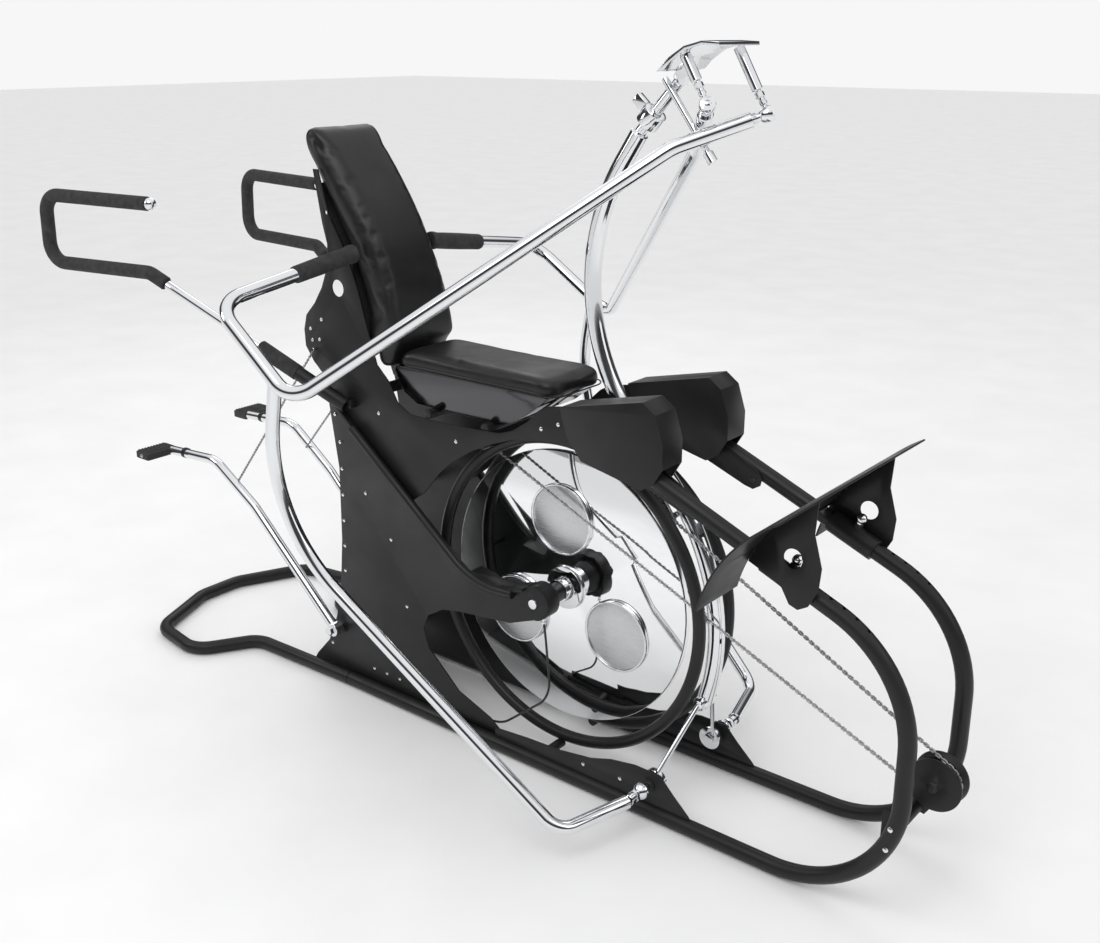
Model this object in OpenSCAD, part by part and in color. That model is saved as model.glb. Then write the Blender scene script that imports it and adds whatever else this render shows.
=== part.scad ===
// Seated multi-station exercise machine: one rider sits over a flywheel,
// pushes a swinging press frame forward, slides a footplate along two rails,
// treads two levers behind the seat and pulls out two rear handles.
// +X is the way the rider faces, +Z is up, the origin is on the floor
// below the flywheel axle, and everything is in millimetres.

/* [Base frame] */
// Outside diameter of the base and rail tubes
frame_d = 38; // [35:1:40]
// Distance from the middle plane to each side tube's axis
side_y = 145; // [141:1:151]
// Diameter of the bolts that pass through the frame
bolt_d = 8; // [6:1:10]

/* [Plates] */
// Thickness of the side plates
plate_t = 4; // [3:0.5:4.5]
// Diameter of the button-head fasteners on the plates
rivet_d = 11; // [8:1:14]

/* [Flywheel] */
// Radius of the polished wheel disc
disc_r = 355; // [320:5:362]
// Thickness of the wheel disc
disc_t = 20; // [14:1:24]
// Radius of each round boss on the disc
boss_r = 92; // [70:2:100]
// Radius of the circle on which the three bosses sit
boss_orbit = 182; // [175:1:200]
// Diameter of the fixed wheel axle
axle_d = 25; // [20:1:28]
// Radius of each guard hoop, to the tube's centre
hoop_r = 392; // [384:2:394]
// Diameter of the guard hoop tube
hoop_d = 30; // [24:1:32]

/* [Seat and back] */
// Width of the seat cushion
seat_w = 212; // [190:2:216]
// Thickness of the seat cushion
seat_t = 42; // [34:2:60]
// Width of the back cushion
back_w = 220; // [190:2:220]

/* [Press frame] */
// Outside diameter of the mast
mast_d = 40; // [34:1:42]
// Outside diameter of each press arm tube
arm_d = 34; // [30:1:36]
// Outside diameter of the foam grips
grip_d = 42; // [40:1:50]
// Diameter of the lower pivot balls
ball_d = 28; // [24:1:30]
// Sideways reach of the arms' outer bends
reach_y = 560; // [540:5:600]

/* [Front pulley] */
// Outside radius of the pulley flanges
pulley_r = 58; // [54:1:60]
// Width of the pulley
pulley_w = 46; // [36:1:46]
// Diameter of the drive chain
chain_d = 9; // [7:0.5:10]

/* [Footplate] */
// Half width of the curved footplate
foot_half = 330; // [280:5:345]
// Sheet thickness of the footplate
foot_t = 4; // [3:0.5:6]
// Length of each sliding sleeve
sleeve_len = 116; // [90:2:120]
// Wall of each sliding sleeve
sleeve_wall = 6; // [5:0.5:7]

/* [Rear handles] */
// Diameter of the inner telescoping tube
slide_d = 25; // [22:1:28]
// Outside diameter of the foam on the rear handles
foam_d = 38; // [32:1:40]
// Outside diameter of the outer socket tube
socket_d = 38; // [36:1:40]

/* [Step levers] */
// Diameter of the step lever tubes
lever_d = 28; // [24:1:30]
// Length of each pedal block
pedal_len = 105; // [90:5:120]
// Width of each pedal block
pedal_w = 60; // [50:2:70]

/* [Hidden] */
$fn = 48;
fit = 0.05;      // running clearance on a radius
gap = 0.3;       // gap between pieces that only sit close
tube_z = frame_d / 2;
inner_y = side_y - frame_d / 2 - gap;      // outer face of the outer cheeks
plate_y = inner_y - plate_t - gap;         // outer face of the upper plates
clear_y = plate_y - plate_t - gap;         // free half width inside the plates
axle = [18, 437];
hoop_c = [58, 455];
ball_x = 383;
ball_z = 89;
ball_y = 178;
chain_y = -34;
pulley_c = [1015, 300];
chain_r = 48;
clevis_c = [294, 742];
clevis_tip = [347, 713];
rail_a = [330, 862];
rail_b = [985, 590];
rail_u = (rail_b - rail_a) / norm(rail_b - rail_a);
rail_n = [-rail_u[1], rail_u[0]];
rail_angle = atan2(rail_u[1], rail_u[0]);
sleeve_mid = rail_a + rail_u * 405;
top_ball_r = [489, 50, 1591];
top_ball_l = [408, -50, 1610];
lever_pivot = [-690, 160];
lever_y = inner_y + 22;                    // middle of each step lever
chain2_y = inner_y + 4;                    // middle of each step chain
black = "#1c1c1e";
chrome = "#c9ccd0";

// ---- helpers ----------------------------------------------------------

function unit(v) = v / norm(v);
function turn(a, b, c) = acos(max(-1, min(1, unit(b - a) * unit(c - b))));

// a rod from point a to point b
module rod(a, b, d, fn = 32) {
  v = b - a;
  translate(a)
    rotate([0, acos(v[2] / norm(v)), atan2(v[1], v[0])])
      cylinder(h = norm(v), d = d, $fn = fn);
}

// the points and directions of one round bend at corner b
function bend(a, b, c, r) =
  let (phi = turn(a, b, c),
       u = unit(a - b),
       v = unit(c - b),
       mid = b + unit(u + v) * (r / cos(phi / 2)),
       x = unit(b + u * r * tan(phi / 2) - mid),
       z = unit(cross(x, b + v * r * tan(phi / 2) - mid)),
       y = cross(z, x),
       n = max(2, ceil(phi / 10)))
  [for (k = [0 : n])
    [mid + r * (x * cos(phi * k / n) + y * sin(phi * k / n)),
     y * cos(phi * k / n) - x * sin(phi * k / n)]];

// the whole centre line: straight ends and rounded corners
function route(pts, rads) =
  let (m = len(pts) - 1)
  concat([[pts[0], unit(pts[1] - pts[0])]],
         [for (i = [1 : 1 : m - 1])
           each bend(pts[i - 1], pts[i], pts[i + 1], rads[i - 1])],
         [[pts[m], unit(pts[m] - pts[m - 1])]]);

// a side direction for each ring, carried along without twist
function sides(line, i, n, done) =
  i >= len(line) ? done
  : let (t = line[i][1], s = unit(n - (n * t) * t))
    sides(line, i + 1, s, concat(done, [s]));

// a bent tube through corner points, with a bend radius at each inner corner
module tube(pts, rads, d, m = 16) {
  line = route(pts, rads);
  t0 = line[0][1];
  start = abs(t0[2]) < 0.8 ? [0, 0, 1] : [0, 1, 0];
  side = sides(line, 0, start, []);
  c = len(line);
  ring = [for (i = [0 : c - 1], k = [0 : m - 1])
    line[i][0] + d / 2 * (side[i] * cos(360 * (k + 0.5) / m)
      + cross(line[i][1], side[i]) * sin(360 * (k + 0.5) / m))];
  faces = concat(
    [[for (k = [0 : m - 1]) k]],
    [[for (k = [m - 1 : -1 : 0]) (c - 1) * m + k]],
    [for (i = [0 : c - 2], k = [0 : m - 1])
      [i * m + k, (i + 1) * m + k, (i + 1) * m + (k + 1) % m]],
    [for (i = [0 : c - 2], k = [0 : m - 1])
      [i * m + k, (i + 1) * m + (k + 1) % m, i * m + (k + 1) % m]]);
  polyhedron(ring, faces, convexity = 6);
}

// a flat outline in the XZ plane, from y to y + t
module plate(pts, y, t) {
  translate([0, y + t, 0])
    rotate([90, 0, 0])
      linear_extrude(t)
        polygon(pts);
}

// a round bar along Y from y0 to y1
module bar(c, y0, y1, d, fn = 48) {
  translate([c[0], y1, c[1]])
    rotate([90, 0, 0])
      cylinder(h = y1 - y0, d = d, $fn = fn);
}

// the same shape on the left side as on the right side
module left_of() {
  mirror([0, 1, 0])
    children();
}

function arc(c, r, a0, a1, n) =
  [for (i = [0 : n]) c + r * [cos(a0 + (a1 - a0) * i / n),
                              sin(a0 + (a1 - a0) * i / n)]];

// ---- base frame -------------------------------------------------------

side_pts = [[-640, 0, tube_z], [990, 0, tube_z], [rail_b[0], 0, rail_b[1]],
            [rail_a[0], 0, rail_a[1]]];

module rear_loop() {
  color(black)
    tube([[-641, -side_y, tube_z], [-1030, -side_y - 12, tube_z],
          [-1130, -320, tube_z], [-1330, -290, tube_z],
          [-1430, -70, tube_z], [-1430, 70, tube_z],
          [-1330, 290, tube_z], [-1130, 320, tube_z],
          [-1030, side_y + 12, tube_z], [-641, side_y, tube_z]],
         [70, 80, 80, 90, 90, 80, 80, 70], frame_d);
}

module side_frame_right() {
  color(black)
    translate([0, -side_y, 0])
      difference() {
        tube(side_pts, [280, 280], frame_d);
        for (i = [-3 : 2])
          translate([sleeve_mid[0] + rail_u[0] * 32 * i, 0,
                     sleeve_mid[1] + rail_u[1] * 32 * i])
            rotate([0, -rail_angle, 0])
              cylinder(h = frame_d, d = 8.6, $fn = 24);
      }
}

module side_frame_left() {
  left_of() side_frame_right();
}

cross_c = [965, 212];
module front_cross_tube() {
  ear_y = chain_y + pulley_w / 2 + gap;
  color(black)
    difference() {
      union() {
        bar(cross_c, -inner_y, inner_y, 34);
        for (s = [-1, 1])
          translate([cross_c[0] - 24, s * (inner_y - 3) - 3, cross_c[1] - 34])
            cube([36, 6, 68]);
        plate([[955, 222], [945, 205], [985, 195], [1040, 285],
               [1036, 318], [1005, 322], [992, 305]], ear_y, 8);
      }
      bar(pulley_c, ear_y - 1, ear_y + 9, 16 + 2 * fit);
    }
}

// ---- side plates ------------------------------------------------------

lip_w = 12;                                // width of the outward lip
ridge = [[-690, 846], [-655, 828], [-520, 715], [-260, 512], [-190, 466],
         [-110, 450], [-60, 456]];
cheek_outline = concat(
  ridge,
  arc(axle, 42, 120, -80, 12),
  [[-60, 362], [-230, 342], [-290, 330], [-345, 296], [-362, 255],
   [-345, 200], [-240, 108], [-130, 68], [-98, 44], [-98, 24],
   [-810, 24], [-800, 40], [-745, 100], [-705, 190], [-680, 300],
   [-666, 430], [-660, 640], [-674, 740]]);

module outer_cheek_right() {
  color(black)
    difference() {
      union() {
        plate(cheek_outline, -inner_y, plate_t);
        // lip along the ridge, turned outward, and the arm's wide top fold
        plate(concat(ridge, [[-10, 472], [-10, 464], [-62, 449],
                             [-112, 443], [-194, 459], [-264, 505],
                             [-524, 708], [-658, 821], [-690, 838]]),
              -inner_y - lip_w, lip_w + plate_t);
        plate([[-190, 466], [-110, 450], [-60, 456], [-10, 472],
               [-10, 464], [-62, 449], [-112, 443], [-194, 459]],
              -inner_y, 46);
        bar(axle, -inner_y, -inner_y + 46, 88);
      }
      bar(axle, -inner_y - 1, -60, axle_d + 2 * fit);
    }
}

module outer_cheek_left() {
  left_of() outer_cheek_right();
}

upper_outline = [
  [-700, 1424], [-676, 1290], [-662, 1240], [-668, 1180], [-693, 1125],
  [-725, 1080], [-760, 1045], [-772, 1005], [-770, 960], [-742, 922],
  [-710, 895], [-690, 846], [-520, 690], [-400, 600], [-345, 640],
  [-294, 700], [-248, 742], [-180, 785], [-115, 816], [-51, 840],
  [9, 855], [98, 858], [184, 848], [240, 841], [300, 826], [342, 816],
  [368, 838], [392, 882], [390, 930], [370, 980], [345, 1004],
  [126, 954], [60, 942], [30, 925], [-5, 892], [-51, 862], [-92, 848],
  [-178, 843], [-312, 838], [-389, 840], [-430, 862], [-462, 915],
  [-500, 950], [-530, 1040], [-560, 1140], [-590, 1215], [-650, 1310],
  [-682, 1424]];

module upper_plate_right() {
  color(black)
    difference() {
      union() {
        plate(upper_outline, -plate_y, plate_t);
        // lug that carries the back board
        plate([[-575, 1085], [-545, 1000], [-535, 1006], [-562, 1088]],
              -plate_y, plate_t);
      }
      // teardrop hole behind the back cushion
      bar([-632, 1130], -plate_y - 1, -60, 44);
      bar([-660, 1319], -plate_y - 1, -60, 10);
    }
}

module upper_plate_left() {
  left_of() upper_plate_right();
}

box_skin = [[130, 964], [352, 1015], [385, 992], [406, 930],
            [406, 875], [384, 838], [352, 818], [190, 850],
            [150, 900]];
box_y = side_y + frame_d / 2 + gap;        // inside face of the box skin
module front_box_right() {
  color(black) {
    plate(box_skin, -box_y - plate_t, plate_t);
    // top and front skin across the rail to the inner wall
    plate([[130, 964], [352, 1015], [385, 992], [406, 930], [406, 875],
           [401, 875], [401, 929], [381, 988], [350, 1009.5], [130, 959]],
          -box_y - plate_t, box_y + plate_t - 92);
    plate([[130, 964], [352, 1015], [385, 992], [406, 930], [406, 875],
           [384, 838], [352, 818], [200, 852], [150, 900]], -96, 4);
  }
}

module front_box_left() {
  left_of() front_box_right();
}

module base_gusset_right() {
  y = -side_y - plate_t / 2;
  color(black)
    difference() {
      union() {
        plate([[-95, 30], [-95, 62], [10, 72], [120, 78], [210, 92],
               [270, 112], [340, 124], [412, 124], [430, 104], [450, 84],
               [490, 48], [505, 30]], y, plate_t);
        bar([ball_x, ball_z], -side_y - 8, -side_y + 8, 34);
      }
      bar([ball_x, ball_z], -side_y - 9, -side_y + 9, 14 + 2 * fit);
      translate([-200, -side_y, tube_z])
        rotate([0, 90, 0])
          cylinder(h = 900, d = frame_d + 2 * gap, $fn = 64);
    }
}

module base_gusset_left() {
  left_of() base_gusset_right();
}

module cross_bars() {
  w = clear_y;
  v = inner_y - plate_t - gap;
  color(black) {
    // between the outer cheeks
    for (c = [[-640, 110], [-590, 560]])
      bar(c, -v, v, 30);
    // between the upper plates
    for (c = [[-560, 860], [-690, 985]])
      bar(c, -w, w, 30);
    // under the seat pan
    for (x = [-330, -140])
      bar([x, 861.7 - 12], -w, w, 24);
    bar([0, 873], -w, w, 20);
  }
}

strap_outline = [[250, 868], [262, 838], [440, 770], [462, 765],
                 [480, 776], [484, 794], [472, 810], [300, 905],
                 [268, 905]];
module rail_straps() {
  color(black)
    for (s = [0, 1])
      mirror([0, s, 0])
        plate(strap_outline, -inner_y, plate_t);
}

module button(c, y, s, d) {
  translate([c[0], y, c[1]])
    rotate([s * 90, 0, 0]) {
      cylinder(h = 1.5, d = d, $fn = 24);
      translate([0, 0, 1.5])
        cylinder(h = 2, d1 = d, d2 = d * 0.6, $fn = 24);
    }
}

rivet_at = [[-664, 790], [-650, 715], [-648, 640], [-650, 565],
            [-652, 490], [-654, 415], [-658, 340], [-666, 265],
            [-700, 165], [-730, 95], [-560, 68], [-510, 68], [-460, 68],
            [-300, 70], [-420, 300], [-560, 590], [-470, 480]];
box_bolts = [[40, 885], [90, 905], [-230, 800]];
rear_bolts = [[-500, 822], [-740, 980], [-700, 1040], [-745, 1010],
              [-712, 985]];
module frame_bolts() {
  color(chrome) {
    for (s = [0, 1])
      mirror([0, s, 0]) {
        for (p = rivet_at)
          button(p, -inner_y, 1, rivet_d);
        for (p = concat(box_bolts, rear_bolts))
          button(p, -plate_y, 1, rivet_d);
        button([462, 788], -inner_y + plate_t, -1, 14);
        for (p = [[300, 72], [190, 68]])
          button(p, -side_y - plate_t / 2, 1, rivet_d);
        // pivot bolt of the step lever
        bar(lever_pivot, -lever_y - 20, -inner_y, 16);
        bar(lever_pivot, -lever_y - 27, -lever_y - 20, 26, 6);
        // anchor pin of the step chain
        bar([-728, 958], -inner_y - 9, -plate_y, 9);
      }
    // pulley axle bolt with its hex head and nut
    bar(pulley_c, chain_y - pulley_w / 2 - 2, chain_y + pulley_w / 2 + 12,
        16);
    bar(pulley_c, chain_y - pulley_w / 2 - 12, chain_y - pulley_w / 2 - 2,
        26, 6);
  }
}

// ---- seat and back ----------------------------------------------------

seat_z = 950;
module seat_pan() {
  w = seat_w / 2 - 10;
  color(chrome)
    difference() {
      plate([[-455, seat_z], [-462, seat_z - 12], [-430, 885],
             [-385, 862], [-95, 862], [-30, 896], [20, 934],
             [36, seat_z]], -w, 2 * w);
      plate([[-447, seat_z - 4], [-424, 892], [-382, 866], [-96, 866],
             [-33, 901], [12, 936], [24, seat_z - 4]], -w + 3, 2 * w - 6);
      translate([-380, -w + 3, 840])
        cube([285, 2 * w - 6, 60]);
    }
}

module seat_cushion() {
  r = 20;
  color("#161617")
    hull()
      for (x = [-446 + r, 62 - r], y = [-seat_w / 2 + r, seat_w / 2 - r])
        translate([x, y, seat_z + gap]) {
          cylinder(h = 4, r1 = r - 4, r2 = r, $fn = 24);
          translate([0, 0, seat_t - 10])
            cylinder(h = 10, r1 = r, r2 = r - 9, $fn = 24);
        }
}

module back_board() {
  w = clear_y - 6;
  color(black) {
    plate([[-529, 1000], [-546, 1080], [-573, 1160], [-607, 1240],
           [-656, 1320], [-700, 1388], [-706, 1384], [-662, 1316],
           [-613, 1236], [-580, 1157], [-553, 1078], [-536, 1000]], -w,
          2 * w);
    // brackets from the board to the inside of the side plates
    for (s = [-1, 1])
      translate([-640, s > 0 ? clear_y - 6.5 : -clear_y, 1180])
        cube([62, 6.5, 30]);
  }
}

back_profile = [[-513, 936], [-528, 998], [-545.5, 1080], [-572.5, 1160],
                [-606.5, 1240], [-655.5, 1320], [-702, 1392],
                [-738, 1455], [-752, 1490], [-748, 1515], [-728, 1528], [-702, 1520], [-660, 1475],
                [-600, 1400], [-545, 1320], [-495, 1225], [-462, 1130],
                [-445, 1060], [-438, 1005], [-448, 996], [-466, 975], [-472, 936]];
module back_cushion() {
  color("#161617")
    plate(back_profile, -back_w / 2, back_w);
}

// ---- rear handles -----------------------------------------------------

sock_a = [-600, -142, 829];
sock_b = [-850, -208, 958];
sock_u = unit(sock_b - sock_a);
grip_a = sock_b + sock_u * 330;

module handle_socket_right() {
  color(black)
    difference() {
      union() {
        rod(sock_a, sock_b, socket_d, 48);
        translate([sock_a[0] - 16, -plate_y - 20, sock_a[2] - 6])
          cube([32, 24, 20]);
      }
      rod(sock_a - sock_u, sock_b + sock_u, slide_d + 2 * fit, 48);
      translate([sock_a[0] - 90, -plate_y - gap, sock_a[2] - 90])
        cube([220, 60, 180]);
    }
}

module handle_socket_left() {
  left_of() handle_socket_right();
}

module handle_tube_right() {
  color(chrome)
    rod(sock_a + sock_u * 90, grip_a, slide_d, 48);
}

module handle_tube_left() {
  left_of() handle_tube_right();
}

module handle_foam_right() {
  color("#232325")
    tube([grip_a + sock_u * 0.2, grip_a + sock_u * 60,
          [-1585, -352, 1128], [-1575, -352, 1318], [-1165, -296, 1318]],
         [50, 55, 55], foam_d);
  color(chrome)
    translate([-1158, -295, 1318])
      sphere(d = foam_d - 4, $fn = 32);
}

module handle_foam_left() {
  left_of() handle_foam_right();
}

// ---- flywheel ---------------------------------------------------------

module wheel_axle() {
  color(chrome)
    bar(axle, -inner_y - 6, inner_y + 6, axle_d);
}

module axle_sleeves() {
  y1 = inner_y - 46 - gap;
  color(black)
    for (s = [0, 1])
      mirror([0, s, 0])
        difference() {
          union() {
            bar(axle, -y1, -34, 50);
            bar(axle, -y1, -y1 + 8, 58);
          }
          bar(axle, -inner_y, -20, axle_d + 2 * fit);
        }
}

module mirror_disc() {
  color("#dfe3e6")
    difference() {
      bar(axle, 0, disc_t, 2 * disc_r, 96);
      bar(axle, -1, disc_t + 1, 70);
    }
}

module wheel_hub() {
  color(chrome)
    difference() {
      union() {
        bar(axle, -33, 33, 60);
        bar(axle, -6, -gap, 110);
        bar(axle, disc_t + gap, disc_t + 6, 110);
      }
      bar(axle, -40, 40, axle_d + 2 * fit);
    }
}

module wheel_bosses() {
  color("#a8abae")
    for (a = [93, 213, 333])
      bar(axle + boss_orbit * [cos(a), sin(a)], -9, -0.1,
          2 * (boss_r - 6), 64);
}

module boss_rims() {
  color(chrome)
    for (a = [93, 213, 333])
      difference() {
        bar(axle + boss_orbit * [cos(a), sin(a)], -12, -0.1, 2 * boss_r, 64);
        bar(axle + boss_orbit * [cos(a), sin(a)], -13, 1,
            2 * (boss_r - 5.9), 64);
      }
}

hoop_y = 62;
module guard_hoops() {
  color(black)
    for (s = [-1, 1]) {
      translate([hoop_c[0], s * hoop_y, hoop_c[1]])
        rotate([90, 0, 0])
          rotate_extrude($fn = 96)
            translate([hoop_r, 0])
              circle(d = hoop_d, $fn = 24);
      // feet that stand each hoop off the side plates
      for (f = [[-334, 440, inner_y - plate_t - gap, 16],
                [-150, 801, clear_y, 16], [58, 40, side_y - 17, 24]])
        bar([f[0], f[1]], s > 0 ? hoop_y : -f[2], s > 0 ? f[2] : -hoop_y,
            f[3]);
    }
}

module brake_cable() {
  cable_y = inner_y - plate_t - 3 - gap;
  color("#202022")
    tube([[26, -98, 390], [34, -98, 330], [50, -100, 180],
          [-120, -108, 40], [-262, -cable_y, 86]], [60, 90, 90], 6, 8);
  color(chrome)
    rod([26, -98, 392.5], [26, -98, 378], 12);
}

// ---- drive chain and pulley -------------------------------------------

pull_dir = unit(pulley_c - clevis_tip);
top_tan = pulley_c + chain_r * [-pull_dir[1], pull_dir[0]];
low_end = [-180, 771];
low_dir = unit(pulley_c - low_end);
low_tan = pulley_c - chain_r * [-low_dir[1], low_dir[0]];

module drive_chain_upper() {
  color(chrome)
    rod([clevis_tip[0] + pull_dir[0] * 9, chain_y,
         clevis_tip[1] + pull_dir[1] * 9],
        [top_tan[0] - pull_dir[0] * 0.3, chain_y,
         top_tan[1] - pull_dir[1] * 0.3], chain_d, 12);
}

module drive_chain_lower() {
  a0 = atan2(top_tan[1] - pulley_c[1], top_tan[0] - pulley_c[0]);
  a1 = atan2(low_tan[1] - pulley_c[1], low_tan[0] - pulley_c[0]);
  color(chrome) {
    rod([low_tan[0], chain_y, low_tan[1]],
        [low_end[0], chain_y, low_end[1]], chain_d, 12);
    translate([pulley_c[0], chain_y, pulley_c[1]])
      rotate([90, 0, 0])
        rotate([0, 0, a1])
          rotate_extrude(angle = a0 - a1, $fn = 64)
            translate([chain_r, 0])
              circle(d = chain_d, $fn = 24);
  }
}

module front_pulley() {
  h = pulley_w / 2;
  g = chain_d / 2 + 1.5;
  floor_r = chain_r - chain_d / 2 - gap;
  color(black)
    translate([pulley_c[0], chain_y, pulley_c[1]])
      rotate([90, 0, 0])
        rotate_extrude($fn = 72)
          polygon([[8 + fit, -h + 1], [8 + fit, h - 1],
                   [pulley_r, h - 1], [pulley_r, h - 6],
                   [chain_r + 2, g], [floor_r, g],
                   [floor_r, -g], [chain_r + 2, -g],
                   [pulley_r, -h + 6], [pulley_r, -h + 1]]);
}

// ---- press frame ------------------------------------------------------

mast_pts = [[213, 0, 1547], [-34, 0, 1174], [510, 0, 572],
            [436, 0, 266]];
top_a = [213, 0, 1547];
clamp_u = unit([105, 0, 115]);

module mast() {
  color(chrome) {
    tube(mast_pts, [480, 540], mast_d);
    // thinner top tube above the clamp
    rod(top_a - clamp_u * 10, top_a + clamp_u * 143, 26);
    bar([436, 266], -26, 26, 34);
  }
}

module mast_clamp() {
  c0 = top_a + clamp_u * 24;
  color(chrome)
    difference() {
      union() {
        rod(c0, c0 + clamp_u * 34, 52, 48);
        translate([c0[0] + 10, -9, c0[2] + 26])
          rotate([0, 42, 0])
            translate([-46, 0, -14])
              cube([30, 18, 22]);
      }
      rod(c0 - clamp_u, c0 + clamp_u * 40, 26 + 2 * fit, 48);
    }
}

module yoke_plate() {
  color(chrome) {
    // curved crown plate
    plate([[302, 1672], [330, 1700], [365, 1722], [405, 1732], [445, 1730],
           [446, 1722], [406, 1724], [368, 1714], [336, 1693],
           [320, 1676]], -78, 156);
    // flat web down to the top tube
    plate([[300, 1661.6], [310, 1678], [336, 1696], [352, 1706],
           [334, 1662], [319.2, 1644.1]], -13, 26);
  }
}

yoke_dir = unit([62, 0, -105]);
post = [285, -21, 1658];
post_dir = unit([110, 0, -143]);
module yoke_rods() {
  b0 = top_ball_l - yoke_dir * 108.6;
  c0 = top_ball_r - yoke_dir * 148;
  color(chrome) {
    // long stop post beside the top tube, with its collar and its foot
    rod(post, post + post_dir * 182, 14);
    rod(post + post_dir * 8, post + post_dir * 36, 15.4);
    rod(post + post_dir * 180, post + post_dir * 204, 22);
    // rods with the two upper balls
    rod(b0, top_ball_l, 16);
    translate(top_ball_l)
      sphere(d = 24, $fn = 32);
    rod(c0, top_ball_r, 16);
    translate(top_ball_r)
      sphere(d = 24, $fn = 32);
  }
}

module link_rods() {
  color(chrome)
    for (s = [-1, 1])
      difference() {
        union() {
          rod([436, s * 31, 266], [ball_x + 6, s * 122, ball_z + 20], 12);
          bar([ball_x, ball_z], s > 0 ? 116 : -132, s > 0 ? 132 : -116, 58);
          bar([436, 266], s > 0 ? 26.2 : -34, s > 0 ? 34 : -26.2, 22);
        }
        bar([ball_x, ball_z], -200, 200, 14 + 2 * fit);
      }
}

module chain_clevis() {
  color("#9a9da0")
    difference() {
      plate([[285, 722], [279, 740], [282, 760], [300, 772], [318, 766],
             [358, 712], [352, 700], [338, 700]], -38, 8);
      rod([330, chain_y, 723.6], [380, chain_y, 692.4], chain_d + 1, 24);
    }
  color(chrome)
    difference() {
      union() {
        bar([352, 720], -29.8, -mast_d / 2 - gap, 14);
        bar([clevis_c[0] + 6, clevis_c[1] + 6], -42, -38.1, 16, 6);
      }
    }
}

module lower_balls() {
  color(chrome)
    for (s = [-1, 1]) {
      bar([ball_x, ball_z], s > 0 ? 110 : -ball_y, s > 0 ? ball_y : -110,
          14);
      translate([ball_x, s * ball_y, ball_z])
        sphere(d = ball_d, $fn = 48);
      bar([ball_x, ball_z], s > 0 ? 109 : -115.7, s > 0 ? 115.7 : -109, 26);
    }
}

// an arm: grip tube, outer bend, elbow and the long tube up to the yoke
module press_arm(s, top, knee) {
  elbow = [-285, s * (reach_y + 18), 992];
  dir = unit(top - knee);
  color(chrome) {
    tube([[-550, s * 138, 1229], [-545, s * reach_y, 1170], elbow, knee,
          top - dir * 34], [80, 70, 120], arm_d);
    tube([[-340, s * (reach_y + 14), 1024], [-400, s * (reach_y + 15), 700],
          [330, s * 420, 84], [ball_x, s * (ball_y + 56), ball_z]],
         [400, 60], arm_d - 2);
  }
}

module press_arm_right() {
  press_arm(-1, top_ball_r, [348, -80, 1526]);
}

module press_arm_left() {
  press_arm(1, top_ball_l, [306, 80, 1510]);
}

module grip(s) {
  a = [-550, s * 138, 1229];
  b = [-545, s * reach_y, 1170];
  u = unit(b - a);
  color("#232325")
    difference() {
      rod(a - u * 4, a + u * 190, grip_d, 48);
      rod(a - u * 0.3, a + u * 200, arm_d + 0.1, 48);
    }
}

module grip_right() {
  grip(-1);
}

module grip_left() {
  grip(1);
}

// socket on the upper ball, and the cup on the lower ball
module arm_ends(s, top, knee) {
  dir = unit(top - knee);
  ax = unit(top - [ball_x, s * ball_y, ball_z]);
  color(chrome)
    difference() {
      union() {
        rod(top - dir * 33.8, top - dir * 4, 22);
        rod(top - ax * 11, top + ax * 11, 36, 48);
        translate(top)
          sphere(r = 18, $fn = 48);
      }
      translate(top)
        sphere(r = 12.3, $fn = 48);
      // opening for the rod that carries the ball
      translate(top)
        rotate([0, acos(-yoke_dir[2]), 180])
          cylinder(h = 40, r1 = 9, r2 = 36, $fn = 32);
    }
  color(chrome)
    difference() {
      union() {
        bar([ball_x, ball_z], s > 0 ? ball_y : -ball_y - 51.6,
            s > 0 ? ball_y + 51.6 : -ball_y, 26);
        translate([ball_x, s * ball_y, ball_z])
          sphere(r = ball_d / 2 + 7, $fn = 48);
      }
      translate([ball_x, s * ball_y, ball_z])
        sphere(r = ball_d / 2 + gap, $fn = 48);
      translate([ball_x - 60, s > 0 ? ball_y - 100 : -ball_y,
                 ball_z - 60])
        cube([120, 100, 120]);
    }
}

module arm_ends_right() {
  arm_ends(-1, top_ball_r, [348, -80, 1526]);
}

module arm_ends_left() {
  arm_ends(1, top_ball_l, [306, 80, 1510]);
}

// ---- footplate --------------------------------------------------------

foot_c = [939, 591];
foot_R = 348;
cheek_y = side_y + frame_d / 2 + sleeve_wall + gap;

module footplate() {
  color(black)
    difference() {
      plate(concat(arc(foot_c, foot_R, 119, 167, 16),
                   arc(foot_c, foot_R - foot_t, 167, 119, 16)),
            -foot_half, 2 * foot_half);
      // the middle is cut higher than the two wings
      translate([560, -cheek_y - 3, 640])
        cube([84, 2 * cheek_y + 6, 132]);
    }
}

module foot_cheek(s) {
  y = s > 0 ? cheek_y : -cheek_y - 3;
  difference() {
    plate(concat(arc(foot_c, foot_R - foot_t - 0.1, 119, 156, 12),
                 [[660, 716], [703, 694], [722, 662], [742, 655],
                  [764, 668], [784, 706], [788, 756], [768, 824]]), y, 3);
    bar([725, 762], y - 1, y + 4, 42);
  }
}

module foot_cheeks() {
  color(black) {
    foot_cheek(-1);
    foot_cheek(1);
  }
}

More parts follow.
